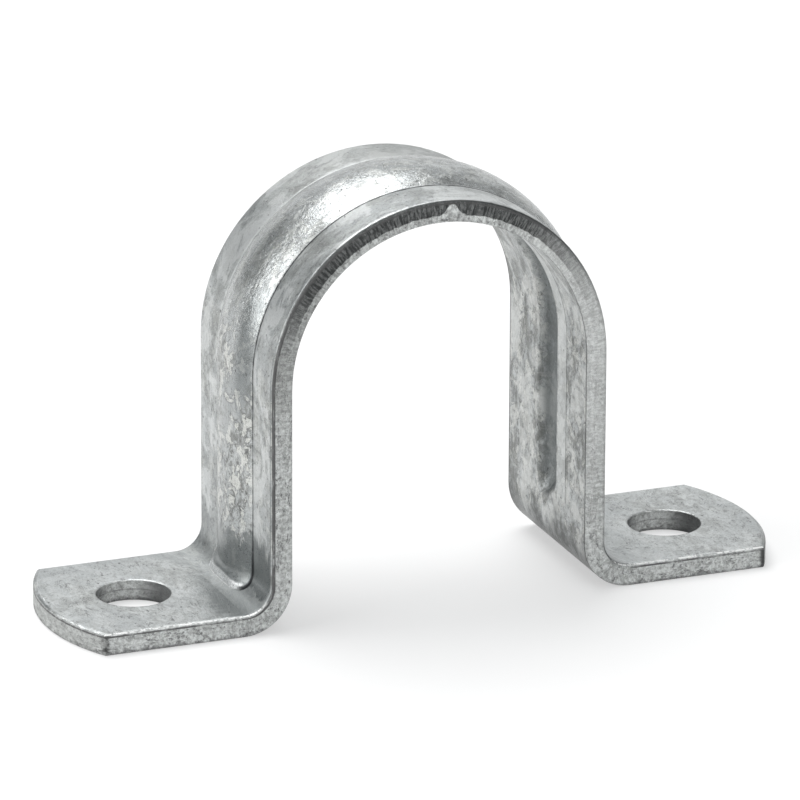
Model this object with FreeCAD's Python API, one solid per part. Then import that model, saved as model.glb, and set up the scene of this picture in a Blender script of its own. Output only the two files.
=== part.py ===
import FreeCAD, Part
import math
import os

from FreeCAD import Vector

# Two-hole conduit strap, pressed from one strip of galvanised sheet steel.
# Millimetres. X runs from foot to foot, Y along the conduit, Z away from the wall.
# The origin is the centre of the strap on the mounting plane under its feet.

# Conduit and saddle
conduit_d = 33.4          # outside diameter of the conduit that the strap holds
saddle_gap = 0.1          # radial room between the conduit and the saddle
saddle_height = 26.8      # conduit centre above the mounting plane

# Strip
sheet_t = 2.4             # thickness of the sheet
strip_w = 21.8            # width of the strip, along the conduit
overall_len = 81.8        # from one foot's end to the other's
bend_r = 2.9              # radius in the hollow between a leg and its foot
foot_end_r = 21.3         # bow of a foot's end, seen from above
roll_w = 0.55             # how far the sheared edge rolls in over the outer face
roll_d = 0.3              # how far it rolls down the cut
burr_c = 0.12             # dressed burr along the inner face

# Fixing holes, punched from the top of the feet
hole_d = 8.0
hole_spacing = 61.6       # from hole to hole
hole_roll_w = 0.3         # how far the rim rolls in over the top face
hole_roll_d = 0.1         # how far it rolls down the hole's wall
burnish_depth = 1.1       # where the straight part of the wall ends, below the top face
breakout = 0.3            # growth of the radius from there to the underside

# Stiffening rib, pressed outward along the middle of the arch and the legs
rib_w = 10.5              # where its flanks meet the strip's outer face
rib_h = 1.25
rib_base_r = 0.5          # fillet between its flanks and the strip

# Groove that the rib's punch leaves in the inner face
groove_w = 5.0            # where its walls meet the strip's inner face
groove_depth = 1.25
groove_mouth_r = 0.7      # rounding of its lips
groove_end_z = 7.6        # lowest point of the groove above the mounting plane

# Derived sizes
saddle_r = conduit_d / 2 + saddle_gap
half_w = strip_w / 2
hole_r = hole_d / 2
bend_out_r = bend_r + sheet_t
bend_x = saddle_r + bend_out_r
bend_z = bend_out_r
groove_end_r = groove_w / 2
rib_crown_r = ((rib_w / 2) ** 2 + rib_h ** 2) / (2 * rib_h)
groove_floor_r = ((groove_w / 2) ** 2 + groove_depth ** 2) / (2 * groove_depth)

ACROSS = Vector(0, 1, 0)
UP = Vector(0, 0, 1)
DOWN = Vector(0, 0, -1)
OUTWARD = Vector(1, 0, 0)
QUARTER_TURN = 90
HALF_TURN = 180
FULL_TURN = 360
CLOSE = 1e-3


def at(u, v):
    """Point of a section where arch and leg meet: u across, v out from the inner face."""
    return Vector(saddle_r + v, u, saddle_height)


def line(start, end):
    return Part.LineSegment(start, end).toShape()


def arc(centre_u, centre_v, r, start, end):
    """Arc of a section about a centre, between two angles in radians."""
    angles = (start, (start + end) / 2, end)
    spots = [at(centre_u + r * math.cos(a), centre_v + r * math.sin(a)) for a in angles]
    return Part.Arc(*spots).toShape()


def face_of(edges):
    return Part.Face(Part.Wire(Part.__sortEdges__(edges)))


def rolled(width, depth):
    """Radius and sweep of an edge's roll, tangent to the face and ending on the cut."""
    r = (width ** 2 + depth ** 2) / (2 * depth)
    return r, math.asin(width / r)


def strip_section():
    """The plain sheet, with its rolled edges outside and its dressed burrs inside."""
    r, sweep = rolled(roll_w, roll_d)
    roll_u, roll_v = half_w - roll_w, sheet_t - r
    top = math.pi / 2
    return face_of([
        line(at(burr_c - half_w, 0), at(half_w - burr_c, 0)),
        line(at(half_w - burr_c, 0), at(half_w, burr_c)),
        line(at(half_w, burr_c), at(half_w, sheet_t - roll_d)),
        arc(roll_u, roll_v, r, top - sweep, top),
        line(at(roll_u, sheet_t), at(-roll_u, sheet_t)),
        arc(-roll_u, roll_v, r, top, top + sweep),
        line(at(-half_w, sheet_t - roll_d), at(-half_w, burr_c)),
        line(at(-half_w, burr_c), at(burr_c - half_w, 0)),
    ])


def rib_section():
    """The rib: a round crown, rooted a little way into the sheet."""
    root_v = sheet_t - sheet_t / 3
    edge_u = rib_w / 2
    crown_v = sheet_t + rib_h - rib_crown_r
    flank = math.atan2(sheet_t - crown_v, edge_u)
    return face_of([
        arc(0, crown_v, rib_crown_r, flank, math.pi - flank),
        line(at(edge_u, sheet_t), at(edge_u, root_v)),
        line(at(-edge_u, sheet_t), at(-edge_u, root_v)),
        line(at(-edge_u, root_v), at(edge_u, root_v)),
    ])


def groove_section(from_u, from_v, from_angle):
    """The groove from one side of its floor to its wall, open past the inner face."""
    floor_v = groove_depth - groove_floor_r
    wall = math.atan2(-floor_v, groove_end_r)
    open_v = -groove_depth
    return face_of([
        arc(0, floor_v, groove_floor_r, wall, from_angle(wall)),
        line(at(from_u, from_v), at(from_u, open_v)),
        line(at(from_u, open_v), at(groove_end_r, open_v)),
        line(at(groove_end_r, open_v), at(groove_end_r, 0)),
    ])


def whole_groove():
    return groove_section(-groove_end_r, 0, lambda wall: math.pi - wall)


def half_groove():
    return groove_section(0, groove_depth, lambda wall: math.pi / 2)


def over_arch(section):
    """Turn a section about the conduit's axis, from the right leg over to the left one."""
    return section.revolve(Vector(0, 0, saddle_height), ACROSS, -HALF_TURN)


def down_leg(section, to_z):
    return section.extrude(DOWN * (saddle_height - to_z))


def lowered(section, to_z):
    return section.translated(DOWN * (saddle_height - to_z))


def both_sides(shape):
    return [shape, shape.mirror(Vector(0, 0, 0), OUTWARD)]


def foot():
    """The right foot: the strip run out flat, ended by a disc with the same rolled edge."""
    reach = overall_len / 2 - bend_x
    turned = lowered(strip_section(), bend_z).rotate(Vector(bend_x, 0, bend_z), ACROSS, -QUARTER_TURN)
    return turned.extrude(OUTWARD * reach).common(end_disc())


def end_disc():
    """Disc whose rim is the bowed end of the right foot."""
    r, sweep = rolled(roll_w, roll_d)
    rim = overall_len / 2
    centre = Vector(rim - foot_end_r, 0, 0)
    half_up = (math.pi - sweep) / 2
    spots = [
        Vector(rim - burr_c, 0, 0),
        Vector(rim, 0, burr_c),
        Vector(rim, 0, sheet_t - roll_d),
        Vector(rim - roll_w + r * math.cos(half_up), 0, sheet_t - r + r * math.sin(half_up)),
        Vector(rim - roll_w, 0, sheet_t),
    ]
    top = centre + Vector(0, 0, sheet_t)
    section = face_of([
        line(centre, spots[0]), line(spots[0], spots[1]), line(spots[1], spots[2]),
        Part.Arc(*spots[2:]).toShape(), line(spots[4], top), line(top, centre),
    ])
    return section.revolve(centre, UP, FULL_TURN)


def edges_where(shape, wanted):
    """Edges whose middle point passes a test."""
    return [e for e in shape.Edges if wanted(middle_of(e))]


def middle_of(edge):
    return edge.valueAt((edge.FirstParameter + edge.LastParameter) / 2)


def plain_strap():
    """The folded strip before its rib and holes."""
    section = strip_section()
    bend_axis = Vector(bend_x, 0, bend_z)
    bend = lowered(section, bend_z).revolve(bend_axis, ACROSS, -QUARTER_TURN)
    pieces = [over_arch(section)]
    for shape in (down_leg(section, bend_z), bend, foot()):
        pieces += both_sides(shape)
    return pieces[0].multiFuse(pieces[1:]).removeSplitter()


def rib():
    """The rib over the arch and down both legs, running out in the hollows of the bends."""
    section = rib_section()
    tail_r = bend_r + sheet_t / 2
    hollow = Part.makeCylinder(tail_r, rib_w, Vector(bend_x, -rib_w / 2, bend_z), ACROSS)
    tail = lowered(section, bend_z).extrude(DOWN * bend_z).common(hollow)
    pieces = [over_arch(section)]
    pieces += both_sides(down_leg(section, bend_z))
    pieces += both_sides(tail)
    return pieces[0].multiFuse(pieces[1:]).removeSplitter()


def groove():
    """The groove under the rib, with a round end on each leg."""
    section = whole_groove()
    end_z = groove_end_z + groove_end_r
    end_axis = Vector(saddle_r, 0, end_z)
    end = lowered(half_groove(), end_z).revolve(end_axis, OUTWARD, -HALF_TURN)
    pieces = [over_arch(section)]
    pieces += both_sides(down_leg(section, end_z))
    pieces += both_sides(end)
    return pieces[0].multiFuse(pieces[1:]).removeSplitter()


def inner_offset(p):
    """How far a point lies outside the strip's inner face, on the arch, a leg or a bend."""
    if p.z > saddle_height:
        return math.hypot(p.x, p.z - saddle_height) - saddle_r
    if p.z > bend_z:
        return abs(p.x) - saddle_r
    return bend_out_r - math.hypot(abs(p.x) - bend_x, p.z - bend_z)


def loop_on(shape, offset, width):
    """Edges of the rib or groove that lie on one face of the strip."""
    def wanted(p):
        return abs(inner_offset(p) - offset) < CLOSE and abs(p.y) < width / 2 + CLOSE and p.z > CLOSE
    return edges_where(shape, wanted)


def hole(x):
    """Punch for one hole: a rolled rim, a straight wall, and a torn one that grows below it."""
    r, sweep = rolled(hole_roll_w, hole_roll_d)
    half_up = (math.pi + sweep) / 2
    rim_x = hole_r + hole_roll_w
    rim = [
        Vector(rim_x, 0, sheet_t),
        Vector(rim_x + r * math.cos(half_up), 0, sheet_t - r + r * math.sin(half_up)),
        Vector(hole_r, 0, sheet_t - hole_roll_d),
    ]
    tear = Vector(hole_r, 0, sheet_t - burnish_depth)
    under = Vector(hole_r + breakout, 0, 0)
    low, high = Vector(0, 0, 0), Vector(0, 0, sheet_t)
    section = face_of([
        line(low, under), line(under, tear), line(tear, rim[2]),
        Part.Arc(*rim).toShape(), line(rim[0], high), line(high, low),
    ])
    return section.revolve(low, UP, FULL_TURN).translated(Vector(x, 0, 0))


def strap():
    body = plain_strap().fuse(rib()).removeSplitter()
    body = body.makeFillet(rib_base_r, loop_on(body, sheet_t, rib_w))
    body = body.cut(groove()).removeSplitter()
    body = body.makeFillet(groove_mouth_r, loop_on(body, 0, groove_w))
    for x in (-hole_spacing / 2, hole_spacing / 2):
        body = body.cut(hole(x))
    return body


def main():
    os.makedirs("parts", exist_ok=True)
    shape = strap()
    print("solids", len(shape.Solids), "valid", shape.isValid())
    print("size", shape.BoundBox.XLength, shape.BoundBox.YLength, shape.BoundBox.ZLength)
    print("volume", shape.Volume)
    shape.exportStep("parts/strap.step")


main()
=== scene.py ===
"""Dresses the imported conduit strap: its galvanised finish, the ends of its rib and a plain studio."""
import math

import bmesh
import bpy
from bpy.props import FloatProperty, FloatVectorProperty, PointerProperty
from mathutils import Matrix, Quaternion, Vector


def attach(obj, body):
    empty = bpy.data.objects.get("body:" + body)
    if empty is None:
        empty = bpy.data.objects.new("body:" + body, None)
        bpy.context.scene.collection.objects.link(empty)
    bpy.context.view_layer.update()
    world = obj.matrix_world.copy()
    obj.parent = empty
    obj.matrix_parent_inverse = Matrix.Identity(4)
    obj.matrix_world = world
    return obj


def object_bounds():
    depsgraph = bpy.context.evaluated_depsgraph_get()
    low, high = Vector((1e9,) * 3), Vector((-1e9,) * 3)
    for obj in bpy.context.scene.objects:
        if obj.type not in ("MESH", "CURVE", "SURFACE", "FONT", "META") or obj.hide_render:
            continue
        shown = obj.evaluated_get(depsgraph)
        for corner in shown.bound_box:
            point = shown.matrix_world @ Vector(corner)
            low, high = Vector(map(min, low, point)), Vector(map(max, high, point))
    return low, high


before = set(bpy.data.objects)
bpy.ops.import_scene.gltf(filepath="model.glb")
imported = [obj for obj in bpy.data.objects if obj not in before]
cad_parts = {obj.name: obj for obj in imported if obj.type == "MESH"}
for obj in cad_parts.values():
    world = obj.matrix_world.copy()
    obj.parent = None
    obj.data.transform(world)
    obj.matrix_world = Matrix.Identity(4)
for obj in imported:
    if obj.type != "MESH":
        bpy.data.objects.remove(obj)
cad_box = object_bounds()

bl_info = {
    "name": "Galvanised conduit strap",
    "version": (1, 0, 0),
    "blender": (4, 5, 0),
    "location": "View3D > Sidebar > Strap",
    "description": "Finishes a pressed steel conduit strap and lights it in a plain studio",
    "category": "Object",
}

MM = 1000.0

# the two blunt noses that close the rib, and the side of the strap that each is on
NOSES = {"rib_nose_left": -1.0, "rib_nose_right": 1.0}

# colours of the zinc and of what marks it, beside the four that a user sets; the inner line's colour also
# paints shade beside the groove
PALE_BLOTCH = (0.66, 0.665, 0.635, 1.0)
PALE_INSIDE = (0.70, 0.71, 0.69, 1.0)
PALE_OUTSIDE = (0.70, 0.715, 0.71, 1.0)
DARK_INSIDE = (0.17, 0.175, 0.165, 1.0)
GRIME = (0.13, 0.135, 0.13, 1.0)
GROOVE_SIDE = (0.68, 0.70, 0.69, 1.0)
INNER_LINE_AND_SHADE = (0.03, 0.032, 0.033, 1.0)

# metal that the bending tool rubbed, which also serves as painted shade, painted shade under the bends, and
# the rib's painted crease shade and painted fillet highlight
RUBBED_AND_SHADE = (0.158, 0.173, 0.175, 1.0)
UNDER_BEND_SHADE = (0.036, 0.039, 0.038, 1.0)
LET_GO = (0.24, 0.255, 0.255, 1.0)
FILLET_HIGHLIGHT = (0.95, 0.96, 0.96, 1.0)
DEEP_CREASE_SHADOW = (0.012, 0.013, 0.014, 1.0)
CREASE_SHADE = (0.02, 0.022, 0.024, 1.0)

# the sheared faces and the edges round them, with painted shade on the rolled edges and a painted highlight
# on the feet's front edge
TORN_DARK = (0.34, 0.346, 0.340, 1.0)
TORN_PALE = (0.84, 0.86, 0.85, 1.0)
CUT_MARK = (0.05, 0.05, 0.05, 1.0)
PALE_CUT = (0.80, 0.81, 0.80, 1.0)
BURNISHED = (0.038, 0.041, 0.041, 1.0)
HOLE_SHADE = (0.06, 0.063, 0.063, 1.0)
ROLLED_EDGE_SHADE = (0.13, 0.137, 0.137, 1.0)
ARCH_EDGE_SHADE = (0.045, 0.048, 0.048, 1.0)
LIP_HIGHLIGHT = (0.97, 0.97, 0.96, 1.0)

# the holes, in millimetres: the torn stretch of the wall below the punched one, and how far it widens
TORN_WALL = 1.3
WALL_WIDENS = 0.3

# places along the strip, in millimetres: where the arch fades into the legs, from the crown, and
# where the bending tool began to rub, before the bend
ARCH_FADES = 27.0
ARCH_GONE = 33.0
RUB_START = -3.2

# the crease runs just outside the rib's outline, in millimetres
CREASE_OUT = 0.12

# the burnished band on the sheared edge, in millimetres: its depth, and the cusp in it near the crown
BURNISH_DEPTH = 1.60
CUSP_RISE = 1.25
CUSP_AT = 1.2
CUSP_WIDTH = 0.75


# ---- shader arithmetic ----

# a Mix node has sockets for numbers, vectors and colours; these are its colour ones
MIX_FIRST = 6
MIX_SECOND = 7
MIX_RESULT = 2


class Wire:
    """A socket that can be reckoned with: an expression on wires adds its Math nodes."""

    def __init__(self, tree, socket):
        self.tree = tree
        self.socket = socket

    def math(self, operation, *terms):
        node = self.tree.nodes.new("ShaderNodeMath")
        node.operation = operation
        for slot, term in zip(node.inputs, terms):
            if isinstance(term, Wire):
                self.tree.links.new(term.socket, slot)
            else:
                slot.default_value = term
        return Wire(self.tree, node.outputs[0])

    def __add__(self, other):
        return self.math("ADD", self, other)

    def __radd__(self, other):
        return self.math("ADD", other, self)

    def __sub__(self, other):
        return self.math("SUBTRACT", self, other)

    def __rsub__(self, other):
        return self.math("SUBTRACT", other, self)

    def __mul__(self, other):
        return self.math("MULTIPLY", self, other)

    def __rmul__(self, other):
        return self.math("MULTIPLY", other, self)

    def __truediv__(self, other):
        return self.math("DIVIDE", self, other)

    def __rtruediv__(self, other):
        return self.math("DIVIDE", other, self)

    def __pow__(self, other):
        return self.math("POWER", self, other)

    def __rpow__(self, other):
        return self.math("POWER", other, self)

    def __neg__(self):
        return self.math("MULTIPLY", self, -1.0)

    def __abs__(self):
        return self.math("ABSOLUTE", self)

    def __gt__(self, other):
        return self.math("GREATER_THAN", self, other)

    def __lt__(self, other):
        return self.math("LESS_THAN", self, other)

    def least(self, other):
        return self.math("MINIMUM", self, other)

    def most(self, other):
        return self.math("MAXIMUM", self, other)

    def angle_over(self, other):
        return self.math("ARCTAN2", self, other)

    def length_with(self, other):
        return self.math("SQRT", self * self + other * other)


class Finish:
    """A material's nodes, and the one method that adds any of them but a Math node."""

    def __init__(self, name):
        self.material = bpy.data.materials.new(name)
        self.material.use_nodes = True
        self.tree = self.material.node_tree
        self.tree.nodes.clear()

    def node(self, kind, settings=None, inputs=None):
        """Adds a node; settings come first, then its inputs by name or number, as values or wires."""
        node = self.tree.nodes.new(kind)
        for key, value in (settings or {}).items():
            setattr(node, key, value)
        for key, value in (inputs or {}).items():
            slot = node.inputs[key]
            if isinstance(value, Wire):
                self.tree.links.new(value.socket, slot)
            else:
                slot.default_value = value
        return node

    def wire(self, node, output=0):
        return Wire(self.tree, node.outputs[output])

    def rise(self, value, low, high):
        """0 below low, 1 above high and a smooth step between them."""
        step = self.node("ShaderNodeMapRange", {"interpolation_type": "SMOOTHSTEP", "clamp": True},
                         {"Value": value, "From Min": low, "From Max": high})
        return self.wire(step)

    def fall(self, value, low, high):
        """1 below low, 0 above high and a smooth step between them."""
        return 1.0 - self.rise(value, low, high)

    def band(self, value, low, high, soft):
        """1 from low to high, with soft edges."""
        return self.rise(value, low - soft, low + soft) * self.fall(value, high - soft, high + soft)

    def pick(self, mask, where_not, where):
        """One colour where the mask is 0 and another where it is 1."""
        mix = self.node("ShaderNodeMix", {"data_type": "RGBA", "blend_type": "MIX", "clamp_factor": True},
                        {0: mask, MIX_FIRST: where_not, MIX_SECOND: where})
        return self.wire(mix, MIX_RESULT)

    def paint(self, colour, *coats):
        """Lays coats over a colour in order, each of them a mask and a colour."""
        for mask, coat in coats:
            colour = self.pick(mask, colour, coat)
        return colour

    def noise(self, place, scale, detail, rough, warp=0.0):
        """Noise of about 0 to 1; its marks are about 1 / scale long, in the units of place."""
        grain = self.node("ShaderNodeTexNoise", {"noise_dimensions": "3D"},
                          {"Vector": place, "Scale": scale, "Detail": detail, "Roughness": rough,
                           "Distortion": warp})
        return self.wire(grain)

    def triple(self, x, y, z):
        return self.wire(self.node("ShaderNodeCombineXYZ", None, {"X": x, "Y": y, "Z": z}))


# ---- what a user would change ----

def whole(colour):
    """A colour with its alpha."""
    return (colour[0], colour[1], colour[2], 1.0)


class StrapSheet(bpy.types.PropertyGroup):
    """The sheet's own sizes, which the finish follows round the folds."""
    saddle_radius: FloatProperty(
        name="Saddle radius", description="Radius of the arch's inner face",
        default=0.0168, unit="LENGTH", subtype="DISTANCE")
    saddle_height: FloatProperty(
        name="Saddle height", description="Height of the arch's centre over the wall",
        default=0.0268, unit="LENGTH", subtype="DISTANCE")
    sheet: FloatProperty(
        name="Sheet", description="Thickness of the coated sheet",
        default=0.0024, unit="LENGTH", subtype="DISTANCE")
    bend_inside: FloatProperty(
        name="Bend", description="Inner radius of the bend between leg and foot",
        default=0.0029, unit="LENGTH", subtype="DISTANCE")
    foot_end: FloatProperty(
        name="Foot end", description="Radius of the bowed end of a foot",
        default=0.0213, unit="LENGTH", subtype="DISTANCE")
    rib_width: FloatProperty(
        name="Rib width", description="Width of the rib between its two bases",
        default=0.0105, unit="LENGTH", subtype="DISTANCE")
    rib_height: FloatProperty(
        name="Rib height", description="Height of the rib over the sheet",
        default=0.00125, unit="LENGTH", subtype="DISTANCE")
    nose_reach: FloatProperty(
        name="Nose reach", description="How far the rib runs round the bend, along the sheet",
        default=0.0046, unit="LENGTH", subtype="DISTANCE")
    nose_corner: FloatProperty(
        name="Nose corner", description="Radius of the blunt nose's corners",
        default=0.0030, unit="LENGTH", subtype="DISTANCE")
    groove_width: FloatProperty(
        name="Groove width", description="Width of the groove inside the rib",
        default=0.0050, unit="LENGTH", subtype="DISTANCE")
    hole_spacing: FloatProperty(
        name="Hole spacing", description="Distance between the two fixing holes",
        default=0.0616, unit="LENGTH", subtype="DISTANCE")
    hole_radius: FloatProperty(
        name="Hole radius", description="Radius of the punched part of a hole",
        default=0.0040, unit="LENGTH", subtype="DISTANCE")


class StrapFinish(bpy.types.PropertyGroup):
    """Colours and gloss of the zinc."""
    zinc: FloatVectorProperty(
        name="Zinc", description="General colour of the coat",
        default=(0.385, 0.402, 0.405), subtype="COLOR", size=3, min=0, max=1)
    bright_zinc: FloatVectorProperty(
        name="Bright zinc", description="Fresh, shiny patches",
        default=(0.60, 0.62, 0.618), subtype="COLOR", size=3, min=0, max=1)
    dull_zinc: FloatVectorProperty(
        name="Dull zinc", description="Weathered, brownish grey patches",
        default=(0.205, 0.21, 0.20), subtype="COLOR", size=3, min=0, max=1)
    speck: FloatVectorProperty(
        name="Speck", description="Dark pits and specks",
        default=(0.10, 0.10, 0.10), subtype="COLOR", size=3, min=0, max=1)
    metal: FloatProperty(
        name="Metal", description="How metallic the coat looks",
        default=0.85, subtype="FACTOR", min=0, max=1)


class StrapStudio(bpy.types.PropertyGroup):
    """Floor, light from all round and camera."""
    floor_colour: FloatVectorProperty(
        name="Floor", description="Colour of the floor",
        default=(0.92, 0.92, 0.92), subtype="COLOR", size=3, min=0, max=1)
    sky_colour: FloatVectorProperty(
        name="Sky", description="Colour of the light from all round",
        default=(0.93, 0.98, 1.0), subtype="COLOR", size=3, min=0, max=1)
    sky_strength: FloatProperty(
        name="Sky strength", description="Strength of the light from all round",
        default=0.24, min=0)
    camera_turn: FloatProperty(
        name="Camera turn", description="Turn of the camera round the strap, from its front",
        default=math.radians(-21.673), unit="ROTATION", subtype="ANGLE")
    camera_rise: FloatProperty(
        name="Camera rise", description="Angle of the camera over the floor",
        default=math.radians(19.138), unit="ROTATION", subtype="ANGLE")
    camera_roll: FloatProperty(
        name="Camera roll", description="Tilt of the camera about its own line of sight",
        default=math.radians(0.259), unit="ROTATION", subtype="ANGLE")
    camera_distance: FloatProperty(
        name="Camera distance", description="Distance from camera to strap",
        default=0.8946, unit="LENGTH", subtype="DISTANCE")
    camera_aim: FloatVectorProperty(
        name="Camera aim", description="Point that the camera looks at",
        default=(-0.000323, 0.0, 0.020391), unit="LENGTH", subtype="XYZ")
    lens: FloatProperty(
        name="Lens", description="Focal length, in millimetres",
        default=375.5, min=10, max=1000)


# ---- the flat strip ----

class Sheet:
    """Where a point of the strap lies in the flat strip, in millimetres.

    along is the way from the crown by the middle of the sheet, and negative on the left. across is
    the way from the strip's centre line towards the back. through is the height over the inner face.
    """
    TINY = 0.0001     # keeps a term of an angle above zero
    NO_END = 20.0     # stands for the gap to a foot's end where there is no foot

    def __init__(self, finish, sizes):
        place = finish.node("ShaderNodeTexCoord")
        split = finish.node("ShaderNodeSeparateXYZ", None, {0: finish.wire(place, "Object")})
        x, y, z = (finish.wire(split, axis) * MM for axis in range(3))
        self.across = y
        self.thick = sizes.sheet * MM
        self.rib_half = sizes.rib_width * MM / 2
        self.groove_half = sizes.groove_width * MM / 2
        self.unfold(sizes, x, z)
        self.measure_gaps(sizes, abs(x), y)
        self.lay_grain(finish, x, y, z)

    def unfold(self, sizes, x, z):
        """Follows the sheet round the arch, down the leg, round the bend and out along the foot."""
        saddle = sizes.saddle_radius * MM
        saddle_z = sizes.saddle_height * MM
        bend = sizes.bend_inside * MM + self.thick
        bend_x = saddle + bend
        middle = saddle + self.thick / 2
        mid_bend = bend - self.thick / 2
        quarter_arch = middle * math.pi / 2
        to_bend = quarter_arch + saddle_z - bend
        to_foot = to_bend + mid_bend * math.pi / 2

        side = abs(x)
        over = z - saddle_z
        in_arch = over > 0.0
        in_foot = side > bend_x
        in_bend = (z < bend) * (1.0 - in_foot)
        in_leg = (1.0 - in_arch) * (1.0 - in_bend) * (1.0 - in_foot)

        arch_through = side.length_with(over) - saddle
        bend_through = bend - (side - bend_x).length_with(z - bend)
        self.through = (arch_through * in_arch + (side - saddle) * in_leg
                        + bend_through * in_bend + z * in_foot)

        arch_along = side.angle_over(over.most(self.TINY)) * middle
        leg_along = quarter_arch - over
        turn_left = (bend_x - side).most(self.TINY).angle_over((bend - z).most(self.TINY))
        bend_along = to_bend + (math.pi / 2 - turn_left) * mid_bend
        foot_along = side - bend_x + to_foot
        along = (arch_along * in_arch + leg_along * in_leg
                 + bend_along * in_bend + foot_along * in_foot)
        which_side = (x > 0.0) * 2.0 - 1.0
        self.along = along * which_side
        self.past_leg = abs(self.along) - to_bend
        self.hole_at = sizes.hole_spacing * MM / 2 - bend_x + to_foot
        self.in_foot = in_foot

    def measure_gaps(self, sizes, side, y):
        """How far a point is from the long edges, from a foot's bowed end and from a hole's wall."""
        half_strip = (cad_box[1][1] - cad_box[0][1]) / 2 * MM
        foot_end = sizes.foot_end * MM
        bow_centre = cad_box[1][0] * MM - foot_end
        hole_x = sizes.hole_spacing * MM / 2
        self.side_gap = half_strip - abs(y)
        self.end_gap = foot_end - (side - bow_centre).length_with(y)
        end_or_none = self.end_gap * self.in_foot + self.NO_END * (1.0 - self.in_foot)
        self.edge_gap = self.side_gap.least(end_or_none)
        self.hole_gap = (side - hole_x).length_with(y) - sizes.hole_radius * MM

    def lay_grain(self, finish, x, y, z):
        """Places for the noises; a factor below 1 draws their marks out that way."""
        foot_y = y * (1.0 - 0.5 * finish.rise(self.past_leg, 3.0, 9.0))
        self.place = finish.triple(x, foot_y, z)
        self.strip = finish.triple(self.along * 0.6, foot_y, self.through)
        self.even = finish.triple(self.along * 0.85, foot_y, self.through)
        self.lengthwise = finish.triple(self.along * 0.16, y, self.through)
        self.layers = finish.triple(self.along * 0.35, y, self.through * 1.3)
        self.crosswise = finish.triple(self.along, y, self.through * 0.22)


# ---- the galvanised finish ----

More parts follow.
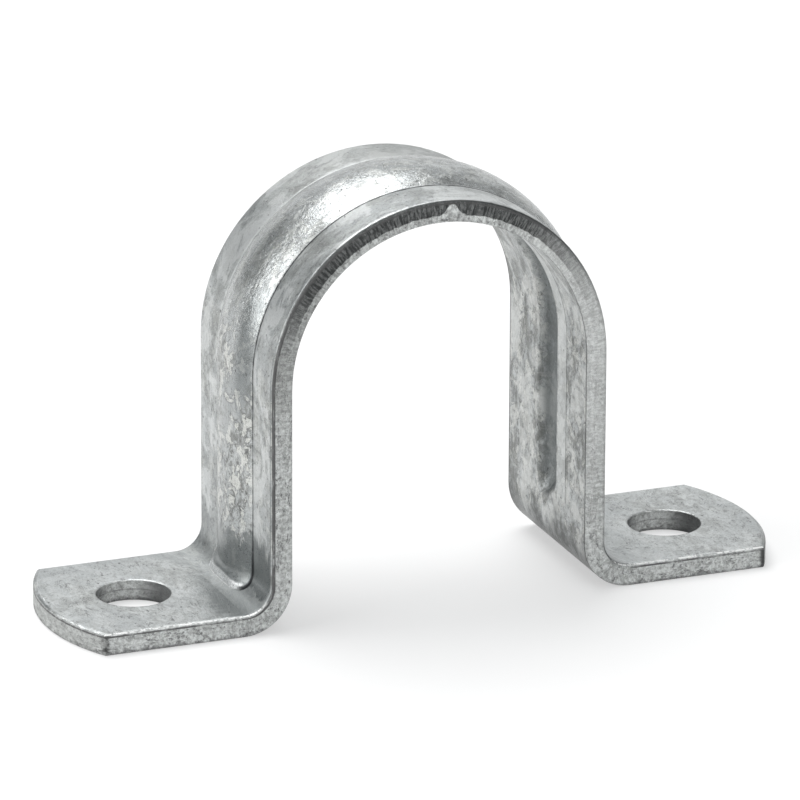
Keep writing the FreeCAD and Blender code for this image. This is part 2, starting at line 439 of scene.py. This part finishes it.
class Galvanised(Finish):
    """Hot-dip galvanised steel: mottled zinc on the faces, sheared metal on the edges.

    The bands and steps along, across and through the strip are in millimetres, and those on a noise
    are in its own 0 to 1. The factor of a coat says how strongly it covers what lies below it.
    """

    def __init__(self, sizes, look):
        super().__init__("galvanised_steel")
        self.zinc = whole(look.zinc)
        self.bright = whole(look.bright_zinc)
        self.dull = whole(look.dull_zinc)
        self.speck = whole(look.speck)
        self.metal = look.metal
        self.sheet = Sheet(self, sizes)
        self.find_faces()
        self.find_rib(sizes)
        self.grow_zinc()
        self.find_rubbed()
        self.find_shear()
        self.shade()

    # -- where things are --

    def find_faces(self):
        """Masks of the outer face, the cut edge, the walls of the holes, and the arch."""
        s = self.sheet
        self.outer = self.rise(s.through, s.thick - 0.12, s.thick - 0.02)
        self.cut = self.fall(s.edge_gap, 0.06, 0.16)
        widened = (TORN_WALL - s.through).most(0.0) * (WALL_WIDENS / TORN_WALL)
        self.wall = self.fall(s.hole_gap - widened, 0.03, 0.07) * s.in_foot
        self.sheared = self.cut.most(self.wall)
        self.face = 1.0 - self.sheared
        self.in_arch = self.fall(abs(s.along), ARCH_FADES, ARCH_GONE)

    def find_rib(self, sizes):
        """The rib, and the distance outside its outline: two base lines that end in blunt noses."""
        s = self.sheet
        corner = sizes.nose_corner * MM
        reach = sizes.nose_reach * MM
        over_side = (abs(s.across) - (s.rib_half - corner)).most(0.0)
        over_end = (s.past_leg - (reach - corner)).most(0.0)
        self.off_rib = over_side.length_with(over_end) - corner
        on_width = self.fall(abs(s.across), s.rib_half - 0.2, s.rib_half + 0.1)
        self.on_rib = on_width * self.outer * self.fall(s.past_leg, 3.5, 4.6)
        self.by_nose = self.rise(s.past_leg, -5.0, 1.0) * self.fall(s.past_leg, 4.6, 5.4)
        nose_edge = self.band(self.off_rib, -0.85, 0.05, 0.25)
        self.nose_end = nose_edge * self.rise(s.past_leg, 2.6, 4.2) * self.outer

    def grow_zinc(self):
        """The noises of the coat, and the blotches and pits that they make."""
        s = self.sheet
        self.cloud = self.noise(s.strip, scale=0.22, detail=4.0, rough=0.55, warp=0.5)
        self.patch = self.noise(s.even, scale=0.26, detail=7.0, rough=0.62, warp=0.8)
        self.blot = self.noise(s.even, scale=0.60, detail=10.0, rough=0.64, warp=0.7)
        self.small = self.noise(s.even, scale=1.35, detail=6.0, rough=0.66, warp=0.8)
        self.streak = self.noise(s.lengthwise, scale=1.3, detail=5.0, rough=0.62, warp=0.6)
        self.sparkle = self.noise(s.place, scale=2.6, detail=3.0, rough=0.55, warp=0.3)
        self.fine = self.noise(s.place, scale=6.5, detail=3.0, rough=0.62)
        pitting = self.noise(s.place, scale=1.7, detail=1.0, rough=0.5)
        self.pits = self.rise(pitting, 0.735, 0.765)
        self.pale_blotches = self.rise(self.blot, 0.527, 0.553)
        self.dull_blotches = self.rise(self.small * 0.6 + self.cloud * 0.4, 0.49, 0.57)
        in_crown = self.fall(abs(s.along), 21.0, 27.0)
        most_on_rib = (0.40 + 0.60 * self.on_rib + 0.35 * (1.0 - self.outer)).least(1.0)
        self.crisp = (1.0 - in_crown * 0.6) * (1.0 - 0.75 * s.in_foot) * most_on_rib

    def find_rubbed(self):
        """Where the bending tool rubbed the coat smooth, in and over the bends, and where painted shade is
        laid on the same way: on the front side of the rib by the arch, and under the bends.
        """
        s = self.sheet
        self.rub_edge = s.past_leg + (self.cloud - 0.5) * 9.0 + (self.streak - 0.5) * 5.0
        bend = self.band(self.rub_edge, RUB_START, 2.6, 0.35) * self.outer * self.rise(s.edge_gap, 0.3, 0.6)
        bend = bend * (1.0 - 0.45 * self.rise(s.across, 4.6, 5.6))
        tongue = self.band(self.rub_edge, RUB_START, 9.0, 0.35) * self.fall(s.past_leg, 3.3, 4.1)
        tongue = tongue * self.on_rib * self.fall(self.off_rib, -0.9, -0.4)
        # painted shade: a darker patch on the front side of the rib where the arch runs into the legs
        flank_shade = self.band(abs(s.along) + (self.small - 0.5) * 10.0, 20.0, 31.0, 2.5)
        flank_shade = flank_shade * self.band(s.across, -5.3, -2.6, 0.9) * self.outer
        # painted shade under the bends, on the inner face
        self.under = self.band(s.past_leg + (self.cloud - 0.5) * 6.0, 1.0, 6.5, 2.2)
        self.under = self.under * (1.0 - self.outer)
        over = bend.most(tongue).most(flank_shade * 0.85)
        self.rubbed = (over + self.under * 0.9).least(1.0) * self.face

    def find_shear(self):
        """The sheared edge: a burnished band below the rolled edge, then a torn one."""
        s = self.sheet
        self.depth = s.thick - s.through
        from_cusp = (s.along - CUSP_AT) / CUSP_WIDTH
        cusp = math.e ** (-(from_cusp * from_cusp))
        ragged = (self.noise(s.crosswise, scale=1.1, detail=4.0, rough=0.6) - 0.5) * 0.5
        self.burnish_depth = BURNISH_DEPTH - CUSP_RISE * cusp + ragged
        self.burnish = self.band(self.depth, 0.22, self.burnish_depth, 0.06) * self.cut
        self.lines = self.noise(s.crosswise, scale=3.4, detail=4.0, rough=0.7, warp=0.2)
        self.torn = self.noise(s.place, scale=2.2, detail=6.0, rough=0.72, warp=0.3)
        self.high_arch = self.fall(abs(s.along), 16.0, 26.0)
        self.left_and_crown = self.fall(s.along, 9.0, 20.0)
        self.end_face = self.fall(s.end_gap, 0.2, 0.5) * s.in_foot
        # painted highlight: a bright line along the front edge of the feet
        lip_highlight = self.band(s.side_gap, 0.10, 0.27, 0.04) * self.fall(self.depth, 0.22, 0.30)
        lip_highlight = lip_highlight * (0.25 + 0.75 * self.rise(self.small, 0.42, 0.52))
        self.lip_highlight = lip_highlight * self.rise(s.past_leg, 2.0, 5.0) * self.rise(s.end_gap, 0.0, 0.2)

    # -- colours, from the coat outwards --

    def clouds(self):
        """Clouds of bright and dull zinc, blotches with dirty outlines, runs, streaks, wisps and ticks."""
        s = self.sheet
        soft_dull = self.rise(self.small * 0.5 + self.cloud * 0.5, 0.46, 0.62)
        run = self.noise(s.strip, scale=0.20, detail=2.0, rough=0.45, warp=1.4)
        tide = self.rise(run, 0.485, 0.515) * (1.0 - s.in_foot * 0.7)
        tide_line = self.band(run, 0.474, 0.486, 0.005) * self.rise(self.small, 0.40, 0.56)
        tide_line = tide_line * (1.0 - s.in_foot * 0.6)
        outline = self.band(self.blot, 0.498, 0.530, 0.010)
        streaks = self.rise(self.streak, 0.50, 0.66) * (1.0 - s.in_foot) * (1.0 - self.in_arch)
        wisps = self.noise(s.place, scale=0.75, detail=5.0, rough=0.60, warp=1.6)
        wisps = self.band(wisps, 0.486, 0.514, 0.008) * self.rise(self.small, 0.46, 0.58)
        ticks = self.noise(s.place, scale=1.15, detail=3.0, rough=0.50, warp=1.0)
        flocks = self.noise(s.place, scale=0.9, detail=2.0, rough=0.5, warp=0.6)
        ticks = self.band(ticks, 0.484, 0.516, 0.010) * self.rise(flocks, 0.53, 0.58)
        ticks = ticks * (0.45 + 0.55 * s.in_foot)
        grime = self.noise(s.strip, scale=0.50, detail=5.0, rough=0.62, warp=0.9)
        grime = self.rise(grime, 0.54, 0.64) * (1.0 - 0.75 * self.outer)
        return self.paint(
            self.zinc,
            (self.rise(self.cloud, 0.36, 0.64) * 0.55, self.bright),
            (soft_dull * 0.50, self.dull),
            (tide * 0.30 * self.face, self.bright),
            (self.dull_blotches * self.crisp * 0.75, self.dull),
            (self.pale_blotches * self.crisp * 0.90, PALE_BLOTCH),
            (outline * self.crisp * 0.50, self.speck),
            (tide_line * 0.50, self.speck),
            (streaks * 0.50 * (1.0 - self.on_rib), self.bright),
            (self.rise(self.fine, 0.48, 0.66) * 0.42, self.dull),
            (wisps * 0.62, self.speck),
            (ticks * 0.70, self.speck),
            (grime * 0.55, GRIME))

    def patches(self, colour):
        """Large pale and dark patches, strongest on the inner face and weak on the feet."""
        inside = (1.0 - self.outer) * self.face
        on_leg = 1.0 - 0.65 * self.rise(self.sheet.past_leg, 0.0, 6.0)
        pale_outside = self.rise(self.patch, 0.50, 0.57) * self.outer * (1.0 - self.on_rib * 0.6)
        return self.paint(
            colour,
            (self.rise(self.patch, 0.50, 0.60) * inside * 0.55, PALE_INSIDE),
            (self.fall(self.patch, 0.40, 0.47) * inside * 0.60, DARK_INSIDE),
            (pale_outside * on_leg * 0.50, PALE_OUTSIDE),
            (self.fall(self.patch, 0.38, 0.46) * self.outer * on_leg * 0.35, self.dull))

    def rub(self, colour):
        """The rubbed coat's smooth grey, which on the front side of the rib by the arch and under the bends
        is painted shade, a darker painted shade under the bends, and a paler grey on the foot where the
        tool let go.
        """
        s = self.sheet
        let_go = self.band(self.rub_edge, 2.6, 8.0, 1.4) * self.outer * self.face
        let_go = let_go * (0.55 + 0.30 * self.fall(s.across, -4.0, -1.0))
        let_go = let_go * (1.0 - 0.7 * self.rise(s.along, -1.0, 1.0))
        return self.paint(
            colour,
            # the rubbed grey; on the front side of the rib and under the bends it is painted shade
            (self.rubbed * (0.86 - 0.4 * self.rise(self.fine, 0.45, 0.75)), RUBBED_AND_SHADE),
            # darker painted shade under the bends
            (self.under * self.face * (0.65 + 0.35 * self.rise(self.small, 0.4, 0.6)), UNDER_BEND_SHADE),
            (let_go, LET_GO))

    def crease(self, colour):
        """Painted shade in the crease in front of the rib, a deep painted shadow beside the nose, a painted
        highlight along the crease behind the rib, and a painted highlight on the fillet of the nose.
        """
        s = self.sheet
        # painted shade in the crease round the rib's outline, strong in front and faint behind
        width = 0.15 + 0.20 * self.by_nose
        crease = self.fall(abs(self.off_rib - CREASE_OUT) / width, 0.5, 1.2) * self.outer * self.face
        crease = crease * (0.62 + 0.36 * self.rise(self.small, 0.35, 0.6))
        crease = crease * self.fall(s.past_leg, 3.4, 4.3)
        front = self.fall(s.across, -1.0, 1.0)
        # painted highlight along the crease behind the rib, on the arch
        back_highlight = crease * (1.0 - front) * self.in_arch
        back_flat = self.rise(s.across, s.rib_half, s.rib_half + 1.0) * self.fall(abs(s.along), 6.0, 16.0)
        # painted shadow deep in the crease in front of the nose
        deep = self.band(self.off_rib, -0.10, 0.42, 0.06) * front * self.band(s.past_leg, -1.2, 3.7, 1.0)
        return self.paint(
            colour,
            (back_highlight * 0.7, self.bright),
            (back_flat * self.outer * 0.35, self.dull),
            # painted highlight on the fillet at the nose's end
            (self.nose_end * (0.50 + 0.50 * self.rise(self.fine, 0.42, 0.55)), FILLET_HIGHLIGHT),
            (deep * self.outer * 0.92, DEEP_CREASE_SHADOW),
            (crease * (0.10 + 0.90 * front), CREASE_SHADE))

    def groove(self, colour):
        """Painted shade in the groove, in the grey of rubbed metal, the pale strip before it, and dark
        lines: painted shade along the groove's edge, a line by the strip and a line on the inner edge.
        """
        s = self.sheet
        inner = 1.0 - self.outer
        # painted shade in the groove: a dark reflection painted in
        groove_shade = self.fall(abs(s.across - 1.1), s.groove_half - 0.8, s.groove_half - 0.2)
        groove_shade = groove_shade * inner * self.rise(s.through, 0.10, 0.9)
        # painted shade along the groove's near edge
        groove_edge_shade = self.band(s.across, 1.25 - s.groove_half, 1.55 - s.groove_half, 0.08)
        groove_edge_shade = groove_edge_shade * inner * self.rise(s.through, 0.3, 0.6)
        in_run = self.fall(s.past_leg, -3.0, -2.2) * inner
        strip = self.band(s.across, -5.15, -2.95, 0.10) * in_run * self.face
        strip_line = self.band(s.across, -5.36, -5.16, 0.06) * in_run
        edge_line = self.fall(s.edge_gap, 0.20, 0.44) * self.fall(s.through, 0.20, 0.40)
        lines = (groove_edge_shade.most(strip_line) * 0.5).most(edge_line * 0.85)
        return self.paint(
            colour,
            (groove_shade * 0.75, RUBBED_AND_SHADE),
            (strip * 0.50, GROOVE_SIDE),
            (lines, INNER_LINE_AND_SHADE))

    def shear(self):
        """Torn grey zinc with dark grains and lines, dirt at the rims, and the burnished band."""
        s = self.sheet
        coated = self.rise(self.blot * 0.25 + self.torn * 0.75, 0.33, 0.62)
        grains = self.rise(self.fine * 0.6 + self.small * 0.4, 0.550, 0.61)
        layers = self.noise(s.layers, scale=1.0, detail=5.0, rough=0.62, warp=0.8)
        layers = self.band(layers, 0.485, 0.512, 0.008) * self.rise(self.small, 0.44, 0.55)
        corner = self.fall(s.side_gap, 0.10, 0.70) * self.fall(s.end_gap, 0.10, 0.70) * s.in_foot
        rim_dirt = self.rise(self.depth + (self.small - 0.5) * 2.2, 1.80, 2.35)
        rim_dirt = rim_dirt * (0.15 + 0.85 * self.rise(s.past_leg, 2.0, 8.0))
        left_leg = self.rise(s.past_leg, -24.0, -16.0) * self.fall(s.along, -1.0, 1.0)
        combed = self.rise(self.lines, 0.44, 0.60) * (1.0 - 0.65 * left_leg)
        combed = combed * self.fall(s.past_leg, -6.0, 4.0)
        left_arch = self.fall(s.along, -20.0, -6.0) * self.in_arch
        right_arch = self.rise(s.along, 6.0, 14.0) * self.fall(s.past_leg, -16.0, 6.0)
        dark_band = self.burnish * (0.06 + self.high_arch * (0.34 + 0.60 * self.left_and_crown))
        hole_sides = self.rise(abs(abs(s.along) - s.hole_at), 0.9, 3.9)
        return self.paint(
            self.pick(coated, TORN_DARK, TORN_PALE),
            (grains * 0.40, self.speck),
            (layers * (1.0 - self.wall) * 0.75, CUT_MARK),
            (self.end_face * 0.50, self.dull),
            (corner * (0.35 + 0.60 * self.rise(self.small, 0.42, 0.55)), CUT_MARK),
            (rim_dirt * 0.65, self.speck),
            (combed * 0.42, self.speck),
            (left_arch * 0.40, self.dull),
            (right_arch * 0.38, PALE_CUT),
            (dark_band * (0.76 + 0.24 * self.rise(self.lines, 0.4, 0.6)), BURNISHED),
            (self.wall * (0.10 + 0.80 * hole_sides), HOLE_SHADE))

    def edges(self, colour):
        """Painted shade on the rolled edges of the legs and the arch, a painted highlight on the feet's
        front edge, a dark line of painted shade below the rolled edge, and the line in the holes.
        """
        s = self.sheet
        # painted shade on the rolled edge of the legs, in place of its highlight
        roll = self.fall(s.edge_gap, 0.34, 0.60) * self.outer.most(self.cut)
        roll = roll * (1.0 - self.burnish.most(self.rise(self.depth, 0.3, 0.4)))
        roll = roll * self.rise(abs(s.along), 12.0, 20.0) * (1.0 - s.in_foot * (1.0 - self.end_face))
        # painted shade on the rolled edge of the arch, strongest on the left
        arch_roll_shade = self.outer.most(self.band(self.depth, -1.0, 0.24, 0.02))
        arch_roll_shade = arch_roll_shade * self.fall(s.edge_gap, 0.22, 0.32) * self.high_arch
        below_crown = self.rise(abs(s.along), 9.0, 16.0) * self.fall(s.past_leg, 2.0, 5.0)
        # painted shade: a dark line along the foot of the rolled edge
        roll_foot_shade = self.band(self.depth, 0.27 - 0.15 * below_crown, 0.46, 0.04)
        roll_foot_shade = roll_foot_shade * self.fall(s.edge_gap, 0.20, 0.34)
        broken = self.rise(self.noise(s.lengthwise, scale=2.2, detail=3.0, rough=0.6), 0.36, 0.52)
        right_of_crown = self.rise(s.along, 8.0, 20.0) * (1.0 - s.in_foot)
        roll_foot_shade = roll_foot_shade * (0.45 + 0.50 * broken) * (1.0 - 0.8 * right_of_crown)
        hole_line = self.band(self.depth, 1.00, 1.10, 0.08) * self.wall
        hole_line = hole_line * (0.25 + 0.45 * self.rise(self.small, 0.42, 0.56))
        return self.paint(
            colour,
            (roll * 0.62, ROLLED_EDGE_SHADE),
            (arch_roll_shade * (0.45 + 0.40 * self.left_and_crown), ARCH_EDGE_SHADE),
            (self.lip_highlight, LIP_HIGHLIGHT),
            (roll_foot_shade.most(hole_line), self.speck),
            (self.pits * 0.75 * self.face, self.speck))

    # -- gloss and relief --

    def gloss(self):
        """Roughness and metalness: rubbed metal shines, and dirt and cut faces are dull."""
        dirt = self.dull_blotches * self.crisp
        rough = 0.40 + 0.16 * (self.blot - 0.5) + 0.22 * (self.fine - 0.5) + 0.10 * dirt
        rough = rough - 0.14 * self.in_arch * self.on_rib - 0.10 * self.rubbed - 0.10 * self.nose_end
        rough = rough + (0.62 - rough) * self.sheared * 0.8
        # the painted highlight on the feet's edge is less metallic, so it shows bright under any lamp
        metal = self.metal - 0.25 * dirt - 0.35 * self.sheared - 0.60 * self.lip_highlight
        return rough.most(0.2).least(0.9), metal.most(0.0)

    def relief(self):
        """Height of the surface in millimetres: the uneven coat, the crease, the torn edge and pits."""
        s = self.sheet
        coat = (self.small - 0.5) * 0.045 + (self.fine - 0.5) * 0.014 + self.pale_blotches * 0.004
        coat = coat + (self.sparkle - 0.5) * 0.035 * (0.4 + 0.6 * self.in_arch)
        coat = coat + (self.sparkle - 0.5) * 0.020 * self.on_rib * self.rise(abs(s.along), 10.0, 18.0)
        coat = coat * (1.0 - 0.7 * self.rubbed) + (self.fine - 0.5) * 0.030 * self.nose_end
        coat = coat - self.fall(abs(self.off_rib - CREASE_OUT) / 0.14, 0.3, 1.0) * 0.030 * self.outer
        edge = (self.torn - 0.5) * 0.22 + (self.fine - 0.5) * 0.05
        edge = edge + (self.lines - 0.5) * 0.10 * self.burnish
        edge = edge - self.rise(self.depth - self.burnish_depth, -0.05, 0.08) * 0.05
        return coat * self.face + edge * self.sheared - self.pits * 0.02

    def shade(self):
        colour = self.rub(self.patches(self.clouds()))
        colour = self.groove(self.crease(colour))
        colour = self.edges(self.pick(self.sheared, colour, self.shear()))
        rough, metal = self.gloss()
        bump = self.node("ShaderNodeBump", None,
                         {"Strength": 1.0, "Distance": 1.0 / MM, "Height": self.relief()})
        surface = self.node("ShaderNodeBsdfPrincipled", None, {
            "Base Color": colour, "Roughness": rough, "Metallic": metal, "Normal": self.wire(bump)})
        self.node("ShaderNodeOutputMaterial", None, {"Surface": self.wire(surface)})


class STRAP_OT_galvanise(bpy.types.Operator):
    """Gives the pressed sheet its galvanised finish"""
    bl_idname = "strap.galvanise"
    bl_label = "Galvanise the strap"

    def execute(self, context):
        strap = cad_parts["strap"]
        material = Galvanised(context.scene.strap_sheet, context.scene.strap_finish).material
        for holder in strap.material_slots:
            holder.material = material
        for face in strap.data.polygons:
            face.use_smooth = True
        for name in NOSES:
            bpy.data.objects[name].data.materials.append(material)
        return {"FINISHED"}


# ---- the blunt noses of the rib ----

NOSE_ROWS = 60
NOSE_COLUMNS = 84

# lengths in millimetres, heights over the sheet's outer face
NOSE_START = -1.6      # a nose begins in the leg; what lies before the bend is below zero
NOSE_MARGIN = 0.35     # its mesh runs this far past the rib's outline, inside the sheet
NOSE_ROOT = -0.4       # its underside lies this deep in the sheet
NOSE_SINK = -0.2       # its face ends this deep outside the outline
NOSE_TOP = 0.97        # share of the rib's height that its back has at the start of the bend
NOSE_DROOP = 0.40      # share of it that the back has lost at the end
NOSE_SLOPE = 0.9       # rise of the end for each millimetre inside the outline
NOSE_BLUNT = 0.12      # difference in height over which back and end run together
NO_SLOPE = 9.0         # stands for the end's height where only the back counts


def nose_height(sizes, past, y):
    """Height of a nose over the sheet, in millimetres: the rib's round back, closed by a steep end."""
    rib = sizes.rib_height * MM
    half = sizes.rib_width * MM / 2
    corner = sizes.nose_corner * MM
    reach = sizes.nose_reach * MM
    round_r = (half * half + rib * rib) / (2 * rib)
    part = min(max(past / reach, 0.0), 1.0)
    droop = NOSE_DROOP * part * part * (3 - 2 * part)
    back = (math.sqrt(round_r * round_r - y * y) - (round_r - rib)) * (NOSE_TOP - droop)
    over_side = max(abs(y) - (half - corner), 0.0)
    over_end = max(past - (reach - corner), 0.0)
    inside = corner - math.hypot(over_side, over_end)
    end = inside * NOSE_SLOPE if past > reach - corner else NO_SLOPE
    near = max(NOSE_BLUNT - abs(back - end), 0.0) / NOSE_BLUNT
    return max(min(back, end) - near * near * NOSE_BLUNT / 4, NOSE_SINK)


def on_sheet(sizes, side, past, y, height):
    """A point over the outer face of a leg or of its bend, in metres; past is how far into the bend."""
    sheet = sizes.sheet * MM
    bend = sizes.bend_inside * MM
    centre_x = sizes.saddle_radius * MM + sheet + bend
    centre_z = sheet + bend
    turn = max(past, 0.0) / (bend + sheet / 2)
    x = centre_x - (bend - height) * math.cos(turn)
    z = centre_z - (bend - height) * math.sin(turn) - min(past, 0.0)
    return Vector((side * x, y, z)) / MM


def nose_layer(mesh, sizes, side, height_at):
    """Rows of points from the leg into the bend, and the faces between them."""
    half = sizes.rib_width * MM / 2 + NOSE_MARGIN
    run = sizes.nose_reach * MM + NOSE_MARGIN - NOSE_START
    rows = []
    for i in range(NOSE_ROWS + 1):
        past = NOSE_START + run * i / NOSE_ROWS
        row = []
        for j in range(NOSE_COLUMNS + 1):
            y = half * (2.0 * j / NOSE_COLUMNS - 1.0)
            row.append(mesh.verts.new(on_sheet(sizes, side, past, y, height_at(past, y))))
        rows.append(row)
    for i in range(NOSE_ROWS):
        for j in range(NOSE_COLUMNS):
            mesh.faces.new((rows[i][j], rows[i][j + 1], rows[i + 1][j + 1], rows[i + 1][j]))
    return rows


def nose_mesh(name, sizes, side):
    """A closed mesh: the nose's face, a plain underside in the sheet, and the four sides."""
    mesh = bmesh.new()
    top = nose_layer(mesh, sizes, side, lambda past, y: nose_height(sizes, past, y))
    under = nose_layer(mesh, sizes, side, lambda past, y: NOSE_ROOT)
    for i in range(NOSE_ROWS):
        for j in (0, NOSE_COLUMNS):
            mesh.faces.new((top[i][j], top[i + 1][j], under[i + 1][j], under[i][j]))
    for j in range(NOSE_COLUMNS):
        for i in (0, NOSE_ROWS):
            mesh.faces.new((top[i][j], top[i][j + 1], under[i][j + 1], under[i][j]))
    bmesh.ops.recalc_face_normals(mesh, faces=mesh.faces)
    data = bpy.data.meshes.new(name)
    mesh.to_mesh(data)
    mesh.free()
    for face in data.polygons:
        face.use_smooth = True
    return data


class STRAP_OT_nose(bpy.types.Operator):
    """Closes each end of the rib with a blunt nose in the hollow of the bend"""
    bl_idname = "strap.nose"
    bl_label = "Close the rib"

    def execute(self, context):
        for name, side in NOSES.items():
            piece = bpy.data.objects.new(name, nose_mesh(name, context.scene.strap_sheet, side))
            context.scene.collection.objects.link(piece)
            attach(piece, "root")
        return {"FINISHED"}


# ---- floor, lamps and camera ----

FLOOR_REACH = 3.0
FLOOR_GAP = 0.00002
FLOOR_GLOW = 0.5       # how far the floor turns to plain white for the eye and for mirrors
LAMP_STAND = 0.6
WHITE = (1.0, 1.0, 1.0, 1.0)

# direction from the strap, width in degrees as seen from it, and strength
LAMPS = {
    "overhead_lamp": ((-0.10, 0.40, 0.91), 44.0, 2.2),
    "left_lamp": ((-0.89, 0.09, 0.40), 52.0, 1.90),
    "front_lamp": ((0.02, -0.90, 0.42), 70.0, 0.74),
    "back_lamp": ((0.34, 0.88, 0.30), 60.0, 0.58),
}


def floor_finish(colour):
    """A plain pale floor, brighter to the eye and to mirrors, that keeps the strap's shadow."""
    f = Finish("floor")
    path = f.node("ShaderNodeLightPath")
    mirrored = f.wire(path, "Is Glossy Ray").most(f.wire(path, "Is Transmission Ray"))
    seen = f.wire(path, "Is Camera Ray").most(mirrored)
    plain = f.node("ShaderNodeBsdfDiffuse", None, {"Color": colour})
    glow = f.node("ShaderNodeEmission", None, {"Color": WHITE, "Strength": 1.0})
    mix = f.node("ShaderNodeMixShader", None, {0: seen * FLOOR_GLOW, 1: f.wire(plain), 2: f.wire(glow)})
    f.node("ShaderNodeOutputMaterial", None, {"Surface": f.wire(mix)})
    return f.material


def wide_lamp(scene, name, towards, width, strength):
    """A soft lamp that lights the strap and the whole floor alike, wherever it stands."""
    data = bpy.data.lights.new(name, "SUN")
    data.angle = math.radians(width)
    data.energy = strength
    lamp = bpy.data.objects.new(name, data)
    lamp.rotation_euler = (-Vector(towards)).to_track_quat("-Z", "Y").to_euler()
    lamp.location = Vector(towards).normalized() * LAMP_STAND
    scene.collection.objects.link(lamp)


class STRAP_OT_stage(bpy.types.Operator):
    """Builds the floor, the lamps, the background and the camera"""
    bl_idname = "strap.stage"
    bl_label = "Set the studio"

    def execute(self, context):
        scene = context.scene
        self.floor(scene)
        for name, (towards, width, strength) in LAMPS.items():
            wide_lamp(scene, name, towards, width, strength)
        self.sky(scene)
        self.camera(scene)
        scene.view_settings.view_transform = "Standard"
        return {"FINISHED"}

    def floor(self, scene):
        mesh = bpy.data.meshes.new("floor")
        corners = [(-FLOOR_REACH, -FLOOR_REACH, 0), (FLOOR_REACH, -FLOOR_REACH, 0),
                   (FLOOR_REACH, FLOOR_REACH, 0), (-FLOOR_REACH, FLOOR_REACH, 0)]
        mesh.from_pydata(corners, [], [(0, 1, 2, 3)])
        mesh.materials.append(floor_finish(whole(scene.strap_studio.floor_colour)))
        floor = bpy.data.objects.new("floor", mesh)
        floor.location.z = cad_box[0][2] - FLOOR_GAP
        scene.collection.objects.link(floor)

    def sky(self, scene):
        world = bpy.data.worlds.new("studio")
        world.use_nodes = True
        shade = world.node_tree.nodes["Background"]
        shade.inputs["Color"].default_value = whole(scene.strap_studio.sky_colour)
        shade.inputs["Strength"].default_value = scene.strap_studio.sky_strength
        scene.world = world

    def camera(self, scene):
        studio = scene.strap_studio
        data = bpy.data.cameras.new("camera")
        data.sensor_width = 36.0
        data.lens = studio.lens
        data.clip_start = 0.01
        data.clip_end = 20.0
        turn = studio.camera_turn
        rise = studio.camera_rise
        back = Vector((math.sin(turn) * math.cos(rise), -math.cos(turn) * math.cos(rise), math.sin(rise)))
        level = (-back).to_track_quat("-Z", "Y")
        camera = bpy.data.objects.new("camera", data)
        camera.location = Vector(studio.camera_aim) + back * studio.camera_distance
        camera.rotation_mode = "QUATERNION"
        camera.rotation_quaternion = level @ Quaternion((0.0, 0.0, 1.0), studio.camera_roll)
        scene.collection.objects.link(camera)
        scene.camera = camera


# ---- the sidebar and the order of work ----

class STRAP_PT_sidebar(bpy.types.Panel):
    """Lists what the strap is made and shown with"""
    bl_idname = "STRAP_PT_sidebar"
    bl_label = "Conduit strap"
    bl_space_type = "VIEW_3D"
    bl_region_type = "UI"
    bl_category = "Strap"

    def draw(self, context):
        scene = context.scene
        for group in (scene.strap_sheet, scene.strap_finish, scene.strap_studio):
            box = self.layout.box()
            for name in group.__annotations__:
                box.prop(group, name)
        self.layout.operator("strap.nose")
        self.layout.operator("strap.galvanise")
        self.layout.operator("strap.stage")


CLASSES = (StrapSheet, StrapFinish, StrapStudio,
           STRAP_OT_nose, STRAP_OT_galvanise, STRAP_OT_stage, STRAP_PT_sidebar)


def register():
    for one in CLASSES:
        bpy.utils.register_class(one)
    bpy.types.Scene.strap_sheet = PointerProperty(type=StrapSheet)
    bpy.types.Scene.strap_finish = PointerProperty(type=StrapFinish)
    bpy.types.Scene.strap_studio = PointerProperty(type=StrapStudio)


def unregister():
    for name in ("strap_sheet", "strap_finish", "strap_studio"):
        delattr(bpy.types.Scene, name)
    for one in reversed(CLASSES):
        bpy.utils.unregister_class(one)


def main():
    register()
    bpy.ops.strap.nose()
    bpy.ops.strap.galvanise()
    bpy.ops.strap.stage()


if __name__ == "__main__":
    main()
